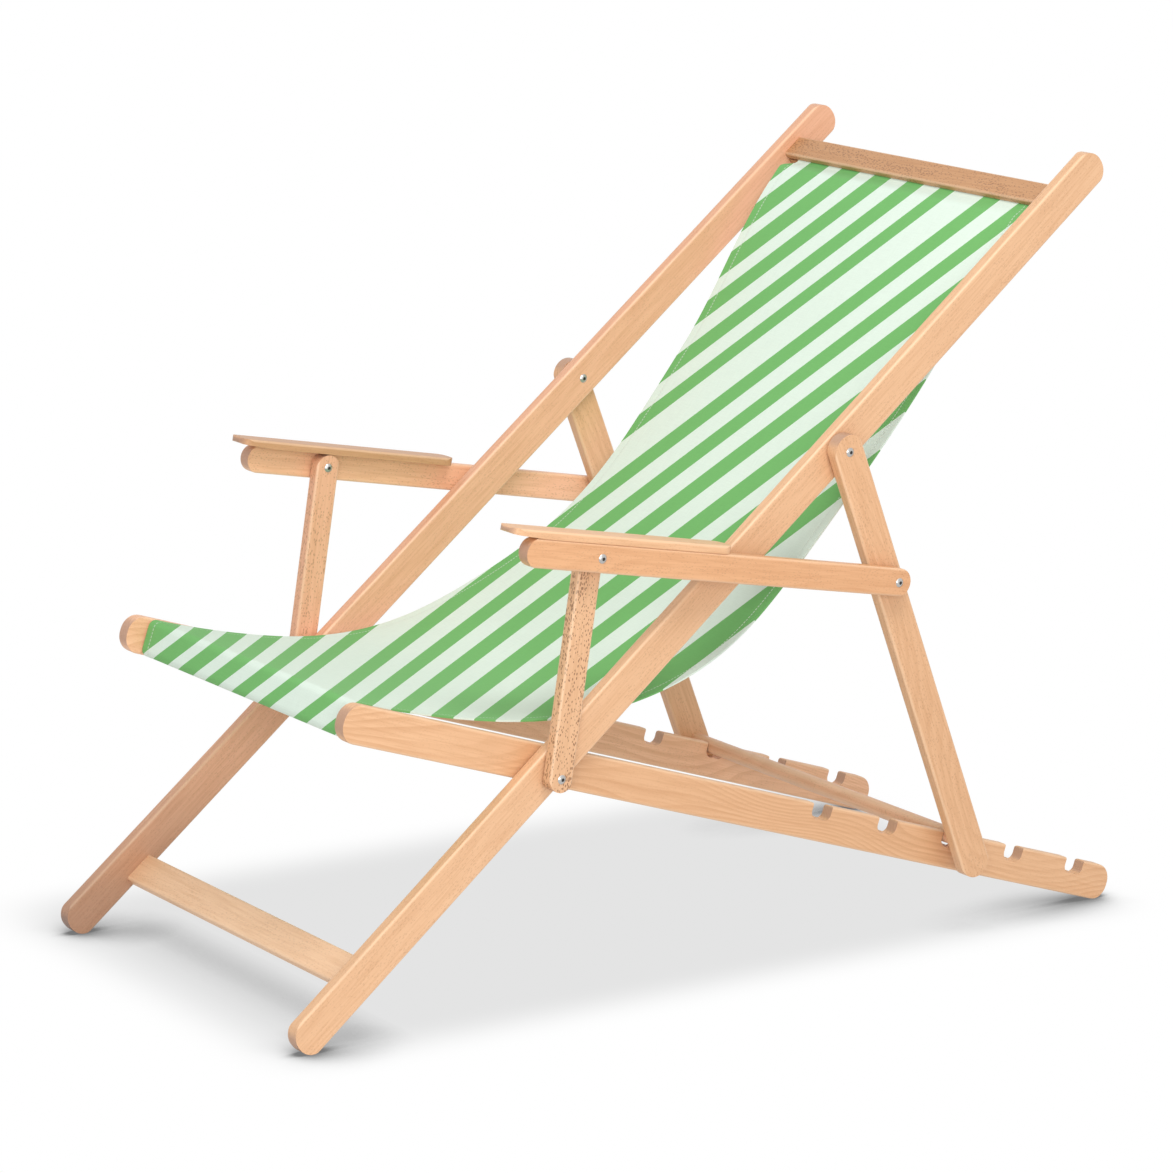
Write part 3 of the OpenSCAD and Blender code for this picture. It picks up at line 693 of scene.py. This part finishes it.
# %% [markdown]
# The grid gets its thickness last, half to each side, with narrow rims. The two long edges are
# folded over and sewn, as on every such cloth, so a strip along each edge is thicker. A vertex
# group tells the modifier where.

# %% Thickness and hems
HEM_WIDTH = 0.014
SINGLE_SHARE = 0.72

side_hems = sling.vertex_groups.new(name="side_hems")
for vertex in mesh.vertices:
    in_hem = HALF_WIDTH - abs(vertex.co.x) < HEM_WIDTH
    side_hems.add([vertex.index], 1.0 if in_hem else SINGLE_SHARE, "REPLACE")
take(sling)
thick = sling.modifiers.new("thickness", "SOLIDIFY")
thick.thickness = CLOTH
thick.offset = 0.0
thick.vertex_group = "side_hems"
thick.use_rim = True
bpy.ops.object.modifier_apply(modifier=thick.name)
bpy.ops.object.shade_smooth_by_angle(angle=math.radians(50))
let_go()
print("with thickness:", len(sling.data.polygons), "faces")

# %% [markdown]
# ## The striped cloth
# The weave is a plain one: threads about a millimetre wide pass over and under each other. Two
# sine waves multiplied give that chequer. No thread is even, so noise stretched along each of
# the two directions adds thick and thin places.

# %% The weave group
THREAD = 0.0011

weave, given, weave_out = new_group(
    "plain_weave", [("Metres", "Vector", None), ("Thread", "Float", THREAD)],
    [("Height", "Float"), ("Shade", "Float")])
threads = weave.split(given["Metres"])
per_metre = weave.math("DIVIDE", math.pi, given["Thread"])
over = weave.product(weave.math("SINE", weave.product(threads["X"], per_metre)),
                     weave.math("SINE", weave.product(threads["Y"], per_metre)))
warp_slubs = weave.noise(weave.scaled(given["Metres"], (900.0, 60.0, 1.0)))
weft_slubs = weave.noise(weave.scaled(given["Metres"], (60.0, 900.0, 1.0)))
uneven = weave.math("SUBTRACT", warp_slubs, weft_slubs)
weave.feed(weave_out["Height"], weave.total(warp_slubs, weft_slubs, weave.product(over, 0.5)))
weave.feed(weave_out["Shade"], weave.total(weave.product(over, 0.035),
                                           weave.product(uneven, 0.10)))
print("weave:", len(weave.tree.nodes), "nodes")

# %% [markdown]
# A line of stitches holds each side hem, 11.5 mm inside the edge. The group finds the distance
# from the nearer edge, pulls the cloth in along that line, and breaks the line into stitches.

# %% The seam group
SEAM_INSIDE = 0.0115
STITCH_LENGTH = 0.0042

seam, given, seam_out = new_group(
    "edge_seam", [("Metres", "Vector", None), ("Width", "Float", 2.0 * HALF_WIDTH)],
    [("Thread", "Float"), ("Height", "Float")])
on_cloth = seam.split(given["Metres"])
from_edge = seam.math("MINIMUM", on_cloth["X"],
                      seam.math("SUBTRACT", given["Width"], on_cloth["X"]))
off_line = seam.math("ABSOLUTE", seam.math("SUBTRACT", from_edge, SEAM_INSIDE))
in_line = seam.ramp(off_line, 0.0005, 0.0011, 1.0, 0.0)
along_seam = seam.math("FRACT", seam.math("DIVIDE", on_cloth["Y"], STITCH_LENGTH))
stitch = seam.product(in_line, seam.plateau(along_seam, 0.02, 0.14, 0.68, 0.80))
dent = seam.ramp(off_line, 0.0006, 0.0028, -1.0, 0.0)
seam.feed(seam_out["Thread"], stitch)
seam.feed(seam_out["Height"], seam.total(dent, seam.product(stitch, 1.4)))
print("seam:", len(seam.tree.nodes), "nodes")

# %% [markdown]
# The stripes are a colour ramp with hard steps that reads the print's coordinate. Their widths
# are given in millimetres across the print, green and pale in turn, from the cloth's far corners
# to the lowest place of its near edge.

# %% The stripes
STRIPE_FIRST = -0.2646
STRIPE_WIDTHS = (14.0, 11.8, 15.3, 12.3, 15.3, 13.5, 15.2, 13.5, 14.7, 14.1, 14.1, 26.4, 14.1,
                 15.3, 15.8, 15.3, 17.0, 17.0, 17.7, 16.4, 17.0, 17.1, 17.6, 31.7, 23.5)
GREEN = (0.178, 0.478, 0.145, 1.0)
MINT = (0.745, 0.860, 0.755, 1.0)
print_width = sum(STRIPE_WIDTHS) / 1000.0

striped, net = new_material("striped_cloth")
print_at = net.split(net.add("UVMap", uv_map="stripe_run").outputs[0])
portion = net.ramp(print_at["X"], STRIPE_FIRST, STRIPE_FIRST + print_width, kind="LINEAR")
stripes = net.add("ValToRGB", {"Fac": portion})
stripes.color_ramp.interpolation = "CONSTANT"
steps = stripes.color_ramp.elements
steps[0].position, steps[0].color = 0.0, GREEN
steps[-1].position, steps[-1].color = 1.0, MINT
reached = 0.0
for order, width in enumerate(STRIPE_WIDTHS[:-1]):
    reached += width / 1000.0
    steps.new(reached / print_width).color = GREEN if order % 2 else MINT
print("stripes:", len(STRIPE_WIDTHS), "over", round(print_width, 3), "m")

# %% [markdown]
# The weave and a painted shade near the near edge darken the stripes, the stitches lie over them,
# and two bumps add the threads and the seams' dents. Cotton is rough, with a faint sheen where it is
# seen aslant.

# %% The cloth's material
STITCH_COLOUR = (0.70, 0.76, 0.68, 1.0)
# The cloth's level outside the painted shade, and at the painted shade's darkest
CLOTH_UNSHADED_LEVEL, CLOTH_PAINTED_SHADE_LEVEL = 0.97, 0.82

metres = net.add("UVMap", uv_map="cloth_metres").outputs[0]
woven = net.add("Group", {"Metres": metres}, node_tree=weave.tree).outputs
sewn = net.add("Group", {"Metres": metres, "Width": 2.0 * HALF_WIDTH},
               node_tree=seam.tree).outputs
shade = net.total(woven["Shade"], net.ramp(print_at["Y"], 0.0, 1.0, CLOTH_UNSHADED_LEVEL, CLOTH_PAINTED_SHADE_LEVEL))
shaded = net.blend(1.0, stripes.outputs["Color"], shade, "MULTIPLY")
stitched = net.blend(net.product(sewn["Thread"], 0.55), shaded, STITCH_COLOUR)
thread_bump = net.add("Bump", {"Height": woven["Height"], "Strength": 0.22, "Distance": 0.0004})
seam_bump = net.add("Bump", {"Height": sewn["Height"], "Strength": 0.5, "Distance": 0.0005,
                             "Normal": thread_bump.outputs[0]})
cotton = net.add("BsdfPrincipled", {
    "Base Color": stitched, "Roughness": 0.86, "Specular IOR Level": 0.25,
    "Sheen Weight": 0.05, "Sheen Roughness": 0.5, "Normal": seam_bump.outputs[0]})
net.add("OutputMaterial", {"Surface": cotton.outputs[0]})
sling.data.materials.clear()
sling.data.materials.append(striped)
print("striped cloth:", len(net.tree.nodes), "nodes")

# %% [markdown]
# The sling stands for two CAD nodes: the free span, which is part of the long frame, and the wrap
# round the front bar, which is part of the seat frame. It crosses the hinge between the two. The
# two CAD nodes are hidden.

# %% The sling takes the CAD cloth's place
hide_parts("sling", "front_wrap")
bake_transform(sling)
print("sling rides on the seat frame and the long frame")

# %% [markdown]
